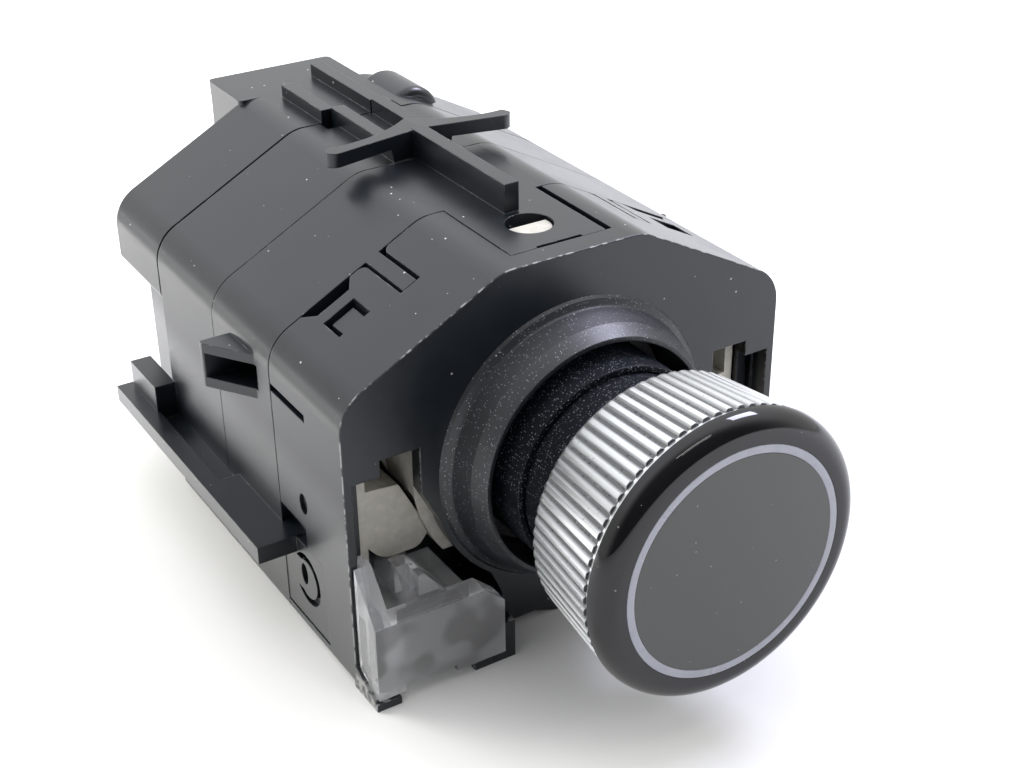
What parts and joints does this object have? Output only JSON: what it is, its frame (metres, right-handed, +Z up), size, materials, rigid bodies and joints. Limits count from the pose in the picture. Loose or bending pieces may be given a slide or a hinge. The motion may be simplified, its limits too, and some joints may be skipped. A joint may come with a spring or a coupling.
{
  "type": "car rotary push switch",
  "caption": "Dashboard rotary push switch: ribbed metal knob with gloss cap on a black housing with rails, light guides and rear connector.",
  "frame": {"origin": "centre of the face plate's front, on the knob axis", "axes": "+Y along the knob axis towards the rear connector, +Z up, +X to the right seen from the front"},
  "size_m": [0.0708, 0.1082, 0.0524],
  "materials": {
    "housing_black": "satin moulded black",
    "collar_black": "fine sparkling texture",
    "gloss_black": "high gloss",
    "satin_metal": "satin plated",
    "pale_grey": "flush",
    "white_box": "satin",
    "clear_acrylic": "clear with a satin front",
    "inner_plastic": "satin",
    "spring_steel": "drawn",
    "magnet_grey": "sintered",
    "board_green": "lacquered board",
    "pin_tin": "tinned"
  },
  "bodies": {
    "housing": {"front_cover": "housing_black", "collar_ring": "collar_black", "guide_bush": "collar_black", "body_housing": "housing_black", "rear_cover": "housing_black", "light_box": "white_box", "light_guide_left": "clear_acrylic", "light_guide_right": "clear_acrylic", "detent_spring": "spring_steel", "circuit_board": "board_green", "board_screws": "spring_steel", "connector_header": "inner_plastic", "connector_pins": "pin_tin", "leds": "white_box", "hall_sensor": "inner_plastic", "tact_switch": "pin_tin"},
    "rotor": {"rotor": "inner_plastic", "detent_ring": "inner_plastic", "magnet_ring": "magnet_grey", "rotor_clip": "spring_steel", "return_spring": "spring_steel"},
    "knob": {"knob_ring": "satin_metal", "knob_cap": "gloss_black", "cap_inlay_ring": "pale_grey", "knob_carrier": "collar_black", "push_rod": "inner_plastic"},
    "switch_plunger": {"tact_plunger": "inner_plastic"}
  },
  "joints": [
    {"name": "rotate", "type": "hinge", "parent": "housing", "child": "rotor", "pos_m": [0, 0, 0], "axis": [0, 1, 0], "continuous": true},
    {"name": "push", "type": "slide", "parent": "rotor", "child": "knob", "axis": [0, 1, 0], "range_m": [0, 0.001], "stiffness_N_per_m": 2000, "springref_m": -0.001, "deforming": ["return_spring"]},
    {"name": "switch_travel", "type": "slide", "parent": "housing", "child": "switch_plunger", "axis": [0, 1, 0], "range_m": [0, 0.001]}
  ],
  "couplings": [
    {"joint": "switch_travel", "follows": "push", "ratio": 1}
  ]
}
